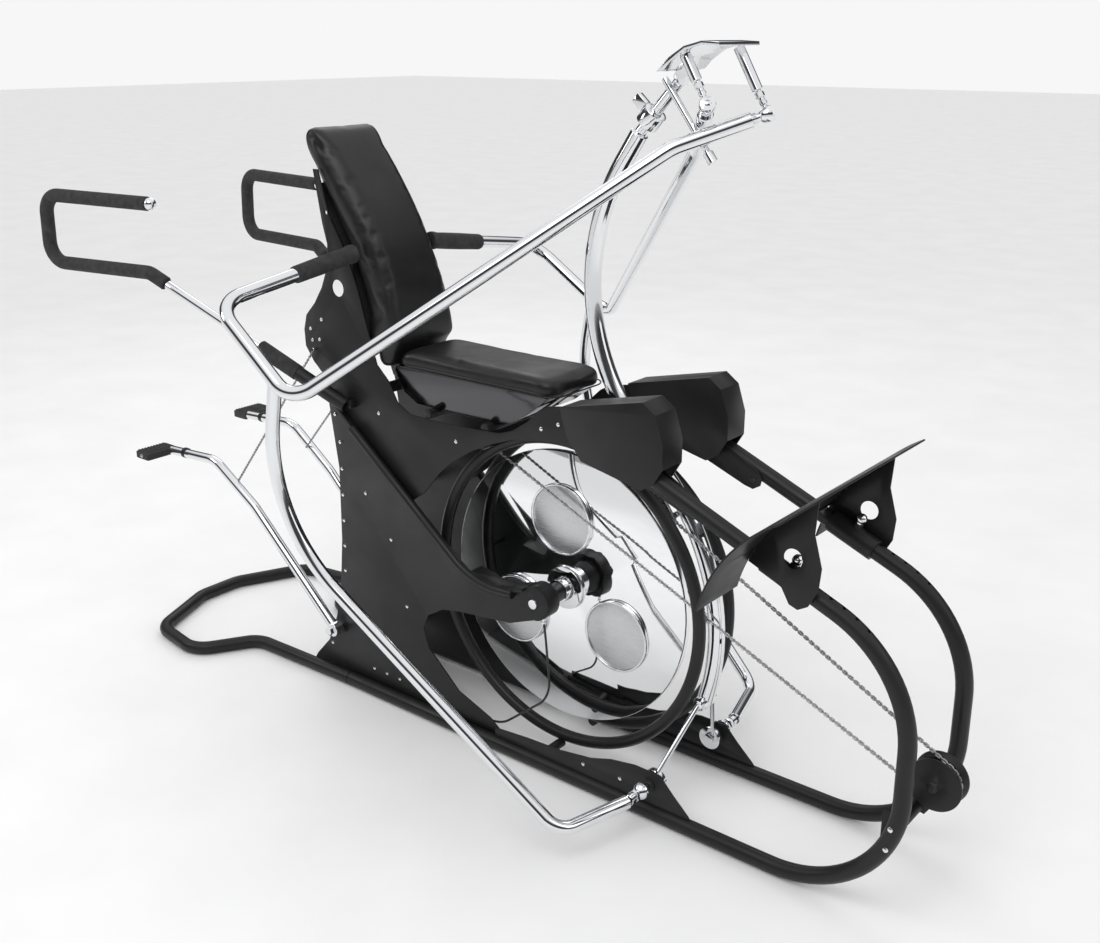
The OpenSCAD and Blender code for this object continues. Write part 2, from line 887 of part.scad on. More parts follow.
module rail_sleeves() {
  ro = frame_d / 2 + sleeve_wall;
  color(black)
    for (s = [-1, 1])
      translate([sleeve_mid[0], s * side_y, sleeve_mid[1]])
        rotate([0, 90 - rail_angle, 0])
          difference() {
            union() {
              translate([0, 0, -sleeve_len / 2])
                cylinder(h = sleeve_len, r = ro, $fn = 64);
              // boss that guides the pull pin
              rotate([0, -90, 0])
                cylinder(h = ro + 8, d = 20, $fn = 32);
            }
            translate([0, 0, -sleeve_len])
              cylinder(h = 2 * sleeve_len, d = frame_d + 2 * fit, $fn = 64);
            rotate([0, -90, 0])
              cylinder(h = ro + 20, d = 8 + 2 * fit, $fn = 32);
          }
}

module pull_pin_right() {
  r0 = frame_d / 2 + gap;
  top = frame_d / 2 + sleeve_wall + 8;
  color(chrome)
    translate([sleeve_mid[0], -side_y, sleeve_mid[1]])
      rotate([0, -rail_angle, 0]) {
        translate([0, 0, r0])
          cylinder(h = top - r0 + 8, d = 8, $fn = 32);
        translate([0, 0, top + gap])
          cylinder(h = 4, d = 16, $fn = 32);
        translate([0, 0, top + 13])
          sphere(d = 24, $fn = 32);
      }
}

module pull_pin_left() {
  left_of() pull_pin_right();
}

// ---- step levers ------------------------------------------------------

module step_lever(s, tip, mid) {
  y = s * lever_y;
  color(chrome)
    difference() {
      union() {
        tube([[tip[0], y, tip[1]], [-1180, y, tip[1] + 12],
              [mid[0], y, mid[1]], [lever_pivot[0], y, lever_pivot[1]]],
             [90, 140], lever_d);
        bar(lever_pivot, y - 14, y + 14, 40);
      }
      bar(lever_pivot, y - 20, y + 20, 16 + 2 * fit);
    }
}

module pedal(s, tip) {
  y0 = s > 0 ? lever_y - 16 : -lever_y - pedal_len + 16;
  color(black)
    translate([tip[0] - pedal_w, y0, tip[1] - 14])
      cube([pedal_w - 0.9, pedal_len, 26]);
}

tip_r = [-1392, 545];
tip_l = [-1392, 588];
module step_lever_right() {
  step_lever(-1, tip_r, [-1010, 450]);
}

module step_lever_left() {
  step_lever(1, tip_l, [-1015, 480]);
}

module pedal_right() {
  pedal(-1, tip_r);
}

module pedal_left() {
  pedal(1, tip_l);
}

module step_chain_right() {
  color(chrome)
    rod([-1100, -chain2_y, 508], [-731, -chain2_y, 954], 7, 12);
}

module step_chain_left() {
  color(chrome)
    rod([-1100, chain2_y, 543], [-731, chain2_y, 954], 7, 12);
}

// ---- assembly ---------------------------------------------------------

rear_loop();
side_frame_right();
side_frame_left();
front_cross_tube();
outer_cheek_right();
outer_cheek_left();
upper_plate_right();
upper_plate_left();
front_box_right();
front_box_left();
base_gusset_right();
base_gusset_left();
cross_bars();
rail_straps();
frame_bolts();
seat_pan();
seat_cushion();
back_board();
back_cushion();
handle_socket_right();
handle_socket_left();
wheel_axle();
axle_sleeves();
guard_hoops();
brake_cable();
lower_balls();
drive_chain_lower();
mirror_disc();
wheel_hub();
wheel_bosses();
boss_rims();
front_pulley();
mast();
mast_clamp();
yoke_plate();
yoke_rods();
link_rods();
chain_clevis();
drive_chain_upper();
press_arm_right();
press_arm_left();
grip_right();
grip_left();
arm_ends_right();
arm_ends_left();
footplate();
foot_cheeks();
rail_sleeves();
pull_pin_right();
pull_pin_left();
step_lever_right();
step_lever_left();
pedal_right();
pedal_left();
step_chain_right();
step_chain_left();
handle_tube_right();
handle_tube_left();
handle_foam_right();
handle_foam_left();
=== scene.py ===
# %% [markdown]
# # Dressing a seated exercise machine
# The real machine is a black powder-coated tube frame with a mirror-polished wheel, chrome arms,
# vinyl cushions and foam grips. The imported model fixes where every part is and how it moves. In this
# lesson each plain part gets its finished surface: smooth bent tubes, rounded plate edges, turned
# fittings, chains made of links, sewn cushions, and one finish for each real material.

# %% Load the fixed frame
import math

import bmesh
import bpy
from mathutils import Matrix, Vector


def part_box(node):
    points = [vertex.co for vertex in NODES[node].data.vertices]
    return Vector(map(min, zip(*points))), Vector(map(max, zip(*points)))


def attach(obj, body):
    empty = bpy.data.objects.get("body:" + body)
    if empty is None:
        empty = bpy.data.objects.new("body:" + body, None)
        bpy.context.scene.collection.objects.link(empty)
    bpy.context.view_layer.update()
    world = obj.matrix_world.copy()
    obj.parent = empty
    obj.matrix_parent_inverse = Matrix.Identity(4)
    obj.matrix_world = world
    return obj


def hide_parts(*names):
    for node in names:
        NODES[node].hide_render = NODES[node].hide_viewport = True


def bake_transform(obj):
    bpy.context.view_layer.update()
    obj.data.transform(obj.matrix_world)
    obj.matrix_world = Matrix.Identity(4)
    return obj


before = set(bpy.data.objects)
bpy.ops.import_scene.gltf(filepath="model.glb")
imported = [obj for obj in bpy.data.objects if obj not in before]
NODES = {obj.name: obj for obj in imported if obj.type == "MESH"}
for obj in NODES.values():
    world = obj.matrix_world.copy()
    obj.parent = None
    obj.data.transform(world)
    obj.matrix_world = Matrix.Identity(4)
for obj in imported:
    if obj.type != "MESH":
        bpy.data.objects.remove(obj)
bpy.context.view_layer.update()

MM = 0.001
print("nodes in the frame:", len(NODES))

# %% [markdown]
# ## Finishes
# A finish is more than a colour. Powder coat has a fine orange-peel skin, chrome has faint smudges,
# foam has pores and vinyl has grain. Each of those is a small noise pattern that drives roughness and
# bump. The pattern is measured in metres on the part itself, so its grain has a true size. Numbers
# that are the same all over the surface are typed straight into the shader.

# %% Helpers for finishes
def finish(name, colour, roughness, metallic=0.0, **sockets):
    """A new material; returns it with its node tree and its shader."""
    material = bpy.data.materials.new(name)
    material.use_nodes = True
    tree = material.node_tree
    shader = tree.nodes["Principled BSDF"]
    shader.inputs["Base Color"].default_value = (*colour, 1)
    shader.inputs["Roughness"].default_value = roughness
    shader.inputs["Metallic"].default_value = metallic
    for socket, value in sockets.items():
        shader.inputs[socket.replace("_", " ")].default_value = value
    return material, tree, shader


def noise(tree, scale, detail=3.0, stretch=(1, 1, 1)):
    """Noise laid on the part in its own metres; scale is how many lumps fit in a metre."""
    place = tree.nodes.new("ShaderNodeTexCoord")
    mapping = tree.nodes.new("ShaderNodeMapping")
    mapping.inputs["Scale"].default_value = stretch
    texture = tree.nodes.new("ShaderNodeTexNoise")
    texture.inputs["Scale"].default_value = scale
    texture.inputs["Detail"].default_value = detail
    tree.links.new(place.outputs["Object"], mapping.inputs["Vector"])
    tree.links.new(mapping.outputs["Vector"], texture.inputs["Vector"])
    return texture.outputs[0]


def cells(tree, scale):
    """Distance inside small closed cells, for leather grain and foam pores."""
    place = tree.nodes.new("ShaderNodeTexCoord")
    texture = tree.nodes.new("ShaderNodeTexVoronoi")
    texture.inputs["Scale"].default_value = scale
    tree.links.new(place.outputs["Object"], texture.inputs["Vector"])
    return texture.outputs["Distance"]


def spread(tree, value, low, high, start=0.35, end=0.65):
    """Stretch a noise value to run from low to high."""
    node = tree.nodes.new("ShaderNodeMapRange")
    node.inputs["From Min"].default_value = start
    node.inputs["From Max"].default_value = end
    node.inputs["To Min"].default_value = low
    node.inputs["To Max"].default_value = high
    tree.links.new(value, node.inputs["Value"])
    return node.outputs["Result"]


def tint(tree, shader, value, first, second):
    """Let a pattern slide the colour between two near shades."""
    ramp = tree.nodes.new("ShaderNodeValToRGB")
    ramp.color_ramp.elements[0].position = 0.3
    ramp.color_ramp.elements[0].color = (*first, 1)
    ramp.color_ramp.elements[1].position = 0.7
    ramp.color_ramp.elements[1].color = (*second, 1)
    tree.links.new(value, ramp.inputs["Fac"])
    tree.links.new(ramp.outputs["Color"], shader.inputs["Base Color"])
    return ramp


def bump(tree, shader, height, strength, depth):
    """Raise the surface by a pattern, depth in metres."""
    node = tree.nodes.new("ShaderNodeBump")
    node.inputs["Strength"].default_value = strength
    node.inputs["Distance"].default_value = depth
    tree.links.new(height, node.inputs["Height"])
    tree.links.new(node.outputs["Normal"], shader.inputs["Normal"])


# %% Powder coat, with its orange-peel skin
powder_coat, tree, shader = finish("powder_coat", (0.011, 0.011, 0.0115), 0.4, Specular_IOR_Level=0.3)
tree.links.new(spread(tree, noise(tree, 9), 0.33, 0.46), shader.inputs["Roughness"])
tint(tree, shader, noise(tree, 6, 5), (0.009, 0.009, 0.0095), (0.014, 0.014, 0.015))
bump(tree, shader, noise(tree, 900), 0.12, 0.0002)

# %% Chrome, mirror and steel
chrome, tree, shader = finish("chrome", (0.80, 0.81, 0.83), 0.05, 1.0)
tree.links.new(spread(tree, noise(tree, 14, 4), 0.035, 0.085), shader.inputs["Roughness"])
bump(tree, shader, noise(tree, 60), 0.02, 0.0002)

mirror, tree, shader = finish("mirror_polish", (0.88, 0.89, 0.90), 0.02, 1.0)
tree.links.new(spread(tree, noise(tree, 7, 5), 0.012, 0.05), shader.inputs["Roughness"])

brushed, tree, shader = finish("brushed_boss", (0.60, 0.61, 0.62), 0.3, 1.0)
strokes = noise(tree, 30, 4, (1, 1, 60))
tree.links.new(spread(tree, strokes, 0.24, 0.42), shader.inputs["Roughness"])
tint(tree, shader, strokes, (0.52, 0.53, 0.54), (0.68, 0.69, 0.70))
bump(tree, shader, strokes, 0.08, 0.0001)

smoked, tree, shader = finish("smoked_chrome", (0.10, 0.10, 0.105), 0.12, 1.0)
tree.links.new(spread(tree, noise(tree, 11, 4), 0.09, 0.17), shader.inputs["Roughness"])

zinc, tree, shader = finish("zinc_plate", (0.42, 0.42, 0.43), 0.28, 1.0)
tree.links.new(spread(tree, noise(tree, 120, 4), 0.2, 0.42), shader.inputs["Roughness"])
tint(tree, shader, noise(tree, 90, 4), (0.34, 0.34, 0.35), (0.50, 0.50, 0.51))

chain_steel, tree, shader = finish("chain_steel", (0.35, 0.35, 0.36), 0.3, 1.0)
tree.links.new(spread(tree, noise(tree, 150, 4), 0.22, 0.45), shader.inputs["Roughness"])
tint(tree, shader, noise(tree, 110, 4), (0.26, 0.26, 0.27), (0.44, 0.44, 0.45))

# %% Vinyl, foam and rubber
vinyl, tree, shader = finish("black_vinyl", (0.008, 0.008, 0.0085), 0.36, Specular_IOR_Level=0.4)
tree.links.new(spread(tree, noise(tree, 12, 4), 0.3, 0.43), shader.inputs["Roughness"])
tint(tree, shader, noise(tree, 8, 4), (0.006, 0.006, 0.0065), (0.010, 0.010, 0.0105))
bump(tree, shader, cells(tree, 700), 0.16, 0.0003)

foam, tree, shader = finish("foam_rubber", (0.022, 0.022, 0.023), 0.85)
tree.links.new(spread(tree, noise(tree, 40, 4), 0.74, 0.95), shader.inputs["Roughness"])
tint(tree, shader, noise(tree, 60, 4), (0.016, 0.016, 0.017), (0.032, 0.032, 0.034))
bump(tree, shader, cells(tree, 900), 0.5, 0.0005)

rubber, tree, shader = finish("pedal_rubber", (0.02, 0.02, 0.021), 0.6)
tree.links.new(spread(tree, noise(tree, 30, 4), 0.5, 0.72), shader.inputs["Roughness"])
bump(tree, shader, noise(tree, 500), 0.2, 0.0003)

sheath, tree, shader = finish("cable_sheath", (0.015, 0.015, 0.016), 0.3)
tree.links.new(spread(tree, noise(tree, 25), 0.24, 0.4), shader.inputs["Roughness"])
bump(tree, shader, noise(tree, 300), 0.08, 0.0002)

SKINS = {"coat": (powder_coat, "black_powder_coat"), "chrome": (chrome, "chrome_tube"),
         "smoked": (smoked, "chrome_tube"),
         "mirror": (mirror, "mirror_disc"), "brushed": (brushed, "brushed_boss"),
         "zinc": (zinc, "zinc_plate"), "chain": (chain_steel, "zinc_chain"),
         "vinyl": (vinyl, "black_vinyl"), "foam": (foam, "foam_rubber"),
         "rubber": (rubber, "foam_rubber"), "sheath": (sheath, "cable_rubber")}
print("finishes:", ", ".join(sorted(SKINS)))

# %% [markdown]
# ## Turning shapes into pieces
# Every shape below is a list of corners and faces. A piece may be several shapes with different
# finishes, such as a chrome ball in a foam sleeve, so one helper gathers shapes into a mesh, shades
# it smooth except at sharp edges, and hangs it on its body. The old plain node is then hidden.

# %% The helper that makes one piece
SHARP = math.radians(32)


def make(name, shapes, body, nodes=()):
    """One object from (corners, faces, skin) shapes, riding on a body, in place of CAD nodes."""
    corners, faces, marks, skins = [], [], [], []
    for shape_corners, shape_faces, skin in shapes:
        if skin not in skins:
            skins.append(skin)
        base = len(corners)
        corners += [tuple(c) for c in shape_corners]
        faces += [[base + i for i in face] for face in shape_faces]
        marks += [skins.index(skin)] * len(shape_faces)
    mesh = bpy.data.meshes.new(name)
    mesh.from_pydata(corners, [], faces)
    for skin in skins:
        mesh.materials.append(SKINS[skin][0])
    mesh.polygons.foreach_set("material_index", marks)
    mesh.update()
    mesh.shade_smooth()
    mesh.set_sharp_from_angle(angle=SHARP)
    piece = bpy.data.objects.new(name, mesh)
    bpy.context.scene.collection.objects.link(piece)
    settle(piece, body, nodes)
    return piece


def settle(piece, body, nodes):
    """Hang the piece on its body and hide the nodes it stands for."""
    if body:
        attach(piece, body)
    if nodes:
        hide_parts(*nodes)


# %% [markdown]
# ## Bent tubes
# The frame, the arms and the grips are all one kind of thing: a round tube pulled round a few bends.
# A curve object with a round profile would do, but its ends stay open and its bends pinch. Here the
# centre line is worked out first, straight runs and true arcs, and rings are carried along it without
# twist. The last rings shrink a little, which gives each cut end a soft edge.

# %% Centre lines and rings
def bent_line(corners, radii, step=5.0):
    """Straight runs through the corners with an arc of each radius at each inner corner."""
    points = [Vector(c) * MM for c in corners]
    line = [points[0]]
    for a, b, c, radius in zip(points, points[1:], points[2:], radii):
        back, on = (a - b).normalized(), (c - b).normalized()
        turn = math.pi - back.angle(on)
        reach = radius * MM * math.tan(turn / 2)
        centre = b + (back + on).normalized() * (radius * MM / math.cos(turn / 2))
        arm = b + back * reach - centre
        axis = arm.cross(b + on * reach - centre).normalized()
        count = max(2, math.ceil(math.degrees(turn) / step))
        line += [centre + Matrix.Rotation(turn * k / count, 3, axis) @ arm for k in range(count + 1)]
    return line + [points[-1]]


def swept(line, diameter, skin, sides=28, soft=0.12):
    """A closed round tube along a line of points, with rounded ends."""
    radius = diameter * MM / 2
    first = (line[1] - line[0]).normalized()
    last = (line[-1] - line[-2]).normalized()
    edge = soft * radius
    stops = [(line[0], first, radius - edge), (line[0] + first * edge, first, radius)]
    for before, here, after in zip(line, line[1:], line[2:]):
        stops.append((here, (after - before).normalized(), radius))
    stops += [(line[-1] - last * edge, last, radius), (line[-1], last, radius - edge)]
    side = Vector((0, 0, 1)) if abs(first.z) < 0.8 else Vector((0, 1, 0))
    corners = []
    for centre, along, size in stops:
        side = (side - along * side.dot(along)).normalized()
        other = along.cross(side)
        for k in range(sides):
            angle = 2 * math.pi * k / sides
            corners.append(centre + (side * math.cos(angle) + other * math.sin(angle)) * size)
    return corners, ring_faces(len(stops), sides), skin


def ring_faces(rings, sides):
    """Faces that join ring to ring and close both ends."""
    faces = [list(range(sides))[::-1], [(rings - 1) * sides + k for k in range(sides)]]
    for r in range(rings - 1):
        for k in range(sides):
            low, turn = r * sides, (k + 1) % sides
            faces.append([low + k, low + turn, low + sides + turn, low + sides + k])
    return faces


def turned(start, along, profile, skin, sides=40):
    """A lathe-turned shape: profile lists (distance along the axis, radius) in millimetres."""
    origin, axis = Vector(start) * MM, Vector(along).normalized()
    side = axis.orthogonal().normalized()
    other = axis.cross(side)
    corners = []
    for distance, radius in profile:
        for k in range(sides):
            angle = 2 * math.pi * k / sides
            arm = side * math.cos(angle) + other * math.sin(angle)
            corners.append(origin + axis * distance * MM + arm * radius * MM)
    return corners, ring_faces(len(profile), sides), skin


def ball(centre, diameter, skin):
    """A polished ball."""
    radius, count = diameter / 2, 14
    profile = []
    for k in range(count + 1):
        angle = math.pi * (0.02 + 0.96 * k / count)
        profile.append((radius - radius * math.cos(angle), radius * math.sin(angle)))
    return turned(Vector(centre) - Vector((0, 0, radius)), (0, 0, 1), profile, skin, 32)


def dome(centre, along, diameter, skin="chrome"):
    """A round-headed rivet or bolt head, standing on its centre point."""
    r = diameter / 2
    profile = [(0, r), (0.12 * r, r), (0.4 * r, 0.88 * r), (0.58 * r, 0.62 * r), (0.66 * r, 0.3 * r),
               (0.68 * r, 0.05 * r)]
    return turned(centre, along, profile, skin, 20)


def hexagon(start, along, width, thick, skin="chrome"):
    """A hexagon nut or bolt head with its corners eased."""
    r = width / 2
    profile = [(0, 0.92 * r), (0.1 * thick, r), (0.9 * thick, r), (thick, 0.9 * r)]
    return turned(start, along, profile, skin, 6)


# %% [markdown]
# ## Base frame tubes
# One tube makes the bow-shaped floor loop behind, and one tube on each side runs along the floor,
# bends up at the front and comes back as the rail. The rails have a row of cross holes that the pull
# pins drop into, so a row of cutters is subtracted from each finished tube.

# %% Rear loop and side frames
TUBE_D = 38
SIDE_Y = 145
TUBE_Z = TUBE_D / 2
RAIL_LOW, RAIL_HIGH = (985, 590), (330, 862)

loop_half = [(-641, -SIDE_Y, TUBE_Z), (-1030, -SIDE_Y - 12, TUBE_Z), (-1130, -320, TUBE_Z),
             (-1330, -290, TUBE_Z), (-1430, -70, TUBE_Z)]
loop_points = loop_half + [(x, -y, z) for x, y, z in reversed(loop_half)]
make("rear_loop_tube", [swept(bent_line(loop_points, [70, 80, 80, 90, 90, 80, 80, 70]), TUBE_D, "coat")],
     "frame", ["rear_loop"])


def side_line(y):
    """Floor run, front bend and rail of one side."""
    return bent_line([(-640, y, TUBE_Z), (990, y, TUBE_Z), (RAIL_LOW[0], y, RAIL_LOW[1]),
                      (RAIL_HIGH[0], y, RAIL_HIGH[1])], [280, 280], 4)


def subtract(piece, cutter):
    """Cut one mesh out of another and keep the result as the piece's mesh."""
    modifier = piece.modifiers.new("holes", "BOOLEAN")
    modifier.object = cutter
    modifier.solver = "EXACT"
    apply_all(piece)
    bpy.data.objects.remove(cutter)


def apply_all(piece):
    """Replace the piece's mesh by what its modifiers make of it."""
    bpy.context.view_layer.update()
    seen = piece.evaluated_get(bpy.context.evaluated_depsgraph_get())
    mesh = bpy.data.meshes.new_from_object(seen)
    piece.modifiers.clear()
    piece.data = mesh


rail_run = Vector((RAIL_LOW[0] - RAIL_HIGH[0], 0, RAIL_LOW[1] - RAIL_HIGH[1])).normalized()
rail_up = Vector((-rail_run.z, 0, rail_run.x))
HOLE_PITCH = 32
for side, y in (("right", -SIDE_Y), ("left", SIDE_Y)):
    tube = make("side_tube_" + side, [swept(side_line(y), TUBE_D, "coat", 32)], "frame",
                ["side_frame_" + side])
    middle = Vector((RAIL_HIGH[0], y, RAIL_HIGH[1])) + rail_run * 405
    drills = [turned(middle + rail_run * HOLE_PITCH * i + rail_up * 4, rail_up,
                     [(0, 4.3), (30, 4.3)], "coat", 20)
              for i in range(-3, 7)]
    drill = make("rail_drill_" + side, drills, None)
    subtract(tube, drill)
    tube.data.shade_smooth()
    tube.data.set_sharp_from_angle(angle=SHARP)
print("base tubes made")

# %% [markdown]
# ## Plates, boxes and brackets
# The side plates, boxes and brackets are already the right shape, but a laser-cut plate that has been
# powder coated never has a knife edge. A copy of each node's mesh is cleaned of extra triangles, and a
# narrow bevel is run along every sharp edge. The bevel catches the light as a thin bright line.

# %% Soften the edges of a node
def islands(mesh):
    """The separate solids in a mesh, each as a list of its corners."""
    shape = bmesh.new()
    shape.from_mesh(mesh)
    bmesh.ops.remove_doubles(shape, verts=shape.verts, dist=0.02 * MM)
    found, left = [], set(shape.verts)
    while left:
        pending, group = [left.pop()], []
        while pending:
            corner = pending.pop()
            group.append(corner.co.copy())
            for edge in corner.link_edges:
                other = edge.other_vert(corner)
                if other in left:
                    left.discard(other)
                    pending.append(other)
        found.append(group)
    shape.free()
    return found


def dressed(node, skin, body, width=1.0, segments=2):
    """A copy of a node with its sharp edges rounded by a bevel of that width in millimetres."""
    shape = bmesh.new()
    shape.from_mesh(NODES[node].data)
    bmesh.ops.remove_doubles(shape, verts=shape.verts, dist=0.02 * MM)
    bmesh.ops.dissolve_limit(shape, angle_limit=math.radians(0.8), verts=shape.verts, edges=shape.edges)
    shape.verts.index_update()
    corners = [v.co.copy() for v in shape.verts]
    faces = [[v.index for v in face.verts] for face in shape.faces]
    shape.free()
    piece = make(node + "_finished", [(corners, faces, skin)], None, [node])
    bevel = piece.modifiers.new("eased_edges", "BEVEL")
    bevel.width = width * MM
    bevel.segments = segments
    bevel.limit_method = "ANGLE"
    bevel.angle_limit = math.radians(34)
    bevel.use_clamp_overlap = True
    bevel.miter_outer = "MITER_ARC"
    apply_all(piece)
    piece.data.shade_smooth()
    piece.data.set_sharp_from_angle(angle=math.radians(50))
    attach(piece, body)
    return piece


EASED = {
    "outer_cheek_right": ("coat", "frame", 1.6), "outer_cheek_left": ("coat", "frame", 1.6),
    "upper_plate_right": ("coat", "frame", 0.9), "upper_plate_left": ("coat", "frame", 0.9),
    "front_box_right": ("coat", "frame", 1.5), "front_box_left": ("coat", "frame", 1.5),
    "base_gusset_right": ("coat", "frame", 0.8), "base_gusset_left": ("coat", "frame", 0.8),
    "front_cross_tube": ("coat", "frame", 0.8), "rail_straps": ("coat", "frame", 0.8),
    "back_board": ("coat", "frame", 1.2), "seat_pan": ("smoked", "frame", 0.8),
    "handle_socket_right": ("coat", "frame", 0.8), "handle_socket_left": ("coat", "frame", 0.8),
    "axle_sleeves": ("coat", "frame", 0.8), "wheel_axle": ("chrome", "frame", 1.0),
    "lower_balls": ("chrome", "frame", 0.6), "cross_bars": ("coat", "frame", 0.8),
    "mirror_disc": ("mirror", "flywheel", 1.2), "wheel_hub": ("chrome", "flywheel", 0.8),
    "wheel_bosses": ("brushed", "flywheel", 0.8), "boss_rims": ("chrome", "flywheel", 1.6),
    "front_pulley": ("coat", "pulley", 0.8), "mast_clamp": ("chrome", "press_frame", 1.0),
    "yoke_plate": ("chrome", "press_frame", 1.2), "link_rods": ("chrome", "press_frame", 0.8),
    "footplate": ("coat", "foot_carriage", 0.8), "foot_cheeks": ("coat", "foot_carriage", 0.7),
    "rail_sleeves": ("coat", "foot_carriage", 0.7),
    "handle_tube_right": ("chrome", "right_handle", 0.8),
    "handle_tube_left": ("chrome", "left_handle", 0.8),
}
for node, (skin, body, width) in EASED.items():
    dressed(node, skin, body, width)
print("nodes with eased edges:", len(EASED))

# %% The rolled ridge that stiffens each cheek
RIDGE_BEND, RIDGE_D = 220, 24
for side, name in ((-1, "right"), (1, "left")):
    ridge = [(-590, side * 136, 768), (-170, side * 136, 440), (-40, side * 136, 449)]
    make("ridge_roll_" + name, [swept(bent_line(ridge, [RIDGE_BEND]), RIDGE_D, "coat")], "frame")

# %% [markdown]
# ## Rivets and bolts
# The plates are held by round-headed fasteners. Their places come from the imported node: each small
# solid in it is found, and a domed head is turned on the same spot. Longer solids are pivot bolts,
# which keep their length and get a chamfered head.

# %% Domed heads on every fastener
def extent(group):
    """Middle and size of a group of corners, in millimetres."""
    low = Vector([min(c[i] for c in group) for i in range(3)]) / MM
    high = Vector([max(c[i] for c in group) for i in range(3)]) / MM
    return low, high


heads = []
for group in islands(NODES["frame_bolts"].data):
    low, high = extent(group)
    middle, size = (low + high) / 2, high - low
    outward = Vector((0, 1 if middle.y > 0 else -1, 0))
    if size.y < 5:
        thin = Vector((middle.x, low.y if outward.y > 0 else high.y, middle.z))
        heads.append(dome(thin, outward, size.x))
    elif size.x > 20:
        start = Vector((middle.x, low.y if outward.y > 0 else high.y, middle.z))
        heads.append(hexagon(start, outward, size.x, size.y))
    else:
        start = Vector((middle.x, low.y, middle.z))
        r = size.x / 2
        chamfered = [(0, r - 1), (1, r), (size.y - 1, r), (size.y, r - 1)]
        heads.append(turned(start, (0, 1, 0), chamfered, "chrome"))
for side in (-1, 1):
    for x, z in ((976, 236), (970, 186)):
        heads.append(dome((x, side * (SIDE_Y + TUBE_Z - 0.4), z), (0, side, 0), 12))
make("fasteners", heads, "frame", ["frame_bolts"])
print("fasteners:", len(heads))

# %% [markdown]
# ## Guard hoops and cable
# Two round hoops stand on either side of the wheel, each welded to short feet. A black cable loops
# from the tip of the axle arm down to the foot of the cheek, with a small chrome adjuster on top.

# %% Hoops and cable
HOOP_C, HOOP_R, HOOP_D, HOOP_Y = (58, 455), 392, 30, 62
hoop_shapes = []
for side in (-1, 1):
    ring_corners, ring_quads = [], []
    around, sides = 120, 24
    for i in range(around):
        turn = 2 * math.pi * i / around
        for k in range(sides):
            roll = 2 * math.pi * k / sides
            reach = HOOP_R + HOOP_D / 2 * math.cos(roll)
            ring_corners.append(Vector((HOOP_C[0] + reach * math.cos(turn),
                                        side * HOOP_Y + HOOP_D / 2 * math.sin(roll),
                                        HOOP_C[1] + reach * math.sin(turn))) * MM)
            here, there = i * sides, (i + 1) % around * sides
            ring_quads.append([here + k, here + (k + 1) % sides, there + (k + 1) % sides, there + k])
    hoop_shapes.append((ring_corners, ring_quads, "coat"))
    for x, z, y, d in ((-334, 440, 121, 16), (-150, 801, 117, 16), (58, 40, 128, 24)):
        ends = [Vector((x, side * HOOP_Y, z)) * MM, Vector((x, side * y, z)) * MM]
        hoop_shapes.append(swept(ends, d, "coat"))
make("guard_hoop_tubes", hoop_shapes, "frame", ["guard_hoops"])

cable_line = bent_line([(26, -98, 390), (34, -98, 330), (50, -100, 180), (-120, -108, 40),
                        (-262, -118.4, 86)], [60, 90, 90])
make("cable_with_adjuster",
     [swept(cable_line, 6, "sheath", 16),
      turned((26, -98, 376), (0, 0, 1), [(0, 4), (1, 6), (6, 6), (7, 4.5), (9, 4.5), (10, 6), (15, 6),
                                         (16.5, 4)], "chrome", 24)],
     "frame", ["brake_cable"])

# %% [markdown]
# ## Mast and yoke
# The chrome mast is an S-shaped tube. Above its clamp a thinner tube carries the yoke plate, and two
# rods hang from the yoke with a ball at the end of each. On the real machine each rod is a thick
# sleeve, a lock nut and a threaded neck, so its outline is turned in those steps.

# %% Mast
MAST_TOP = Vector((213, 0, 1547))
CLAMP_RUN = Vector((105, 0, 115)).normalized()
mast_line = bent_line([MAST_TOP, (-34, 0, 1174), (510, 0, 572), (436, 0, 266)], [480, 540], 3)
make("mast_tube",
     [swept(mast_line, 40, "chrome", 36),
      turned(MAST_TOP - CLAMP_RUN * 10, CLAMP_RUN, [(0, 13), (152, 13), (153, 12.2)], "chrome"),
      turned((436, -26, 266), (0, 1, 0), [(0, 16), (1, 17), (51, 17), (52, 16)], "chrome")],
     "press_frame", ["mast"])

# %% Hanging rods, balls and stop post
ROD_RUN = Vector((62, 0, -105)).normalized()
BALL_R, BALL_L = Vector((489, 50, 1591)), Vector((408, -50, 1610))


def hanging_rod(ball_centre, length):
    """Sleeve, lock nut, neck and ball of one rod."""
    start = ball_centre - ROD_RUN * length
    sleeve = length - 52
    steps = [(0, 10.5), (1, 11.5), (sleeve - 1.5, 11.5), (sleeve, 10.5)]
    neck = [(sleeve, 6.5), (sleeve + 22, 6.5), (sleeve + 24, 8), (sleeve + 30, 8), (sleeve + 33, 5.5),
            (length - 8, 5.5)]
    return [turned(start, ROD_RUN, steps, "chrome"), turned(start, ROD_RUN, neck, "chrome"),
            hexagon(start + ROD_RUN * (sleeve + 4), ROD_RUN, 20, 11), ball(ball_centre, 24, "chrome")]


POST, POST_RUN = Vector((285, -21, 1658)), Vector((110, 0, -143)).normalized()
post_steps = [(0, 6), (1, 7), (8, 7), (8.5, 7.7), (36, 7.7), (36.5, 7), (179, 7), (180, 10), (181, 11),
              (203, 11), (204, 10)]
make("yoke_rods_and_post",
     hanging_rod(BALL_L, 108.6) + hanging_rod(BALL_R, 148)
     + [turned(POST, POST_RUN, post_steps, "chrome")],
     "press_frame", ["yoke_rods"])

# %% Clevis wedge that holds the chain's end
clevis_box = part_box("chain_clevis")
dressed("chain_clevis", "zinc", "press_frame", 0.6)
print("clevis spans", [round(v, 3) for v in clevis_box[1] - clevis_box[0]])

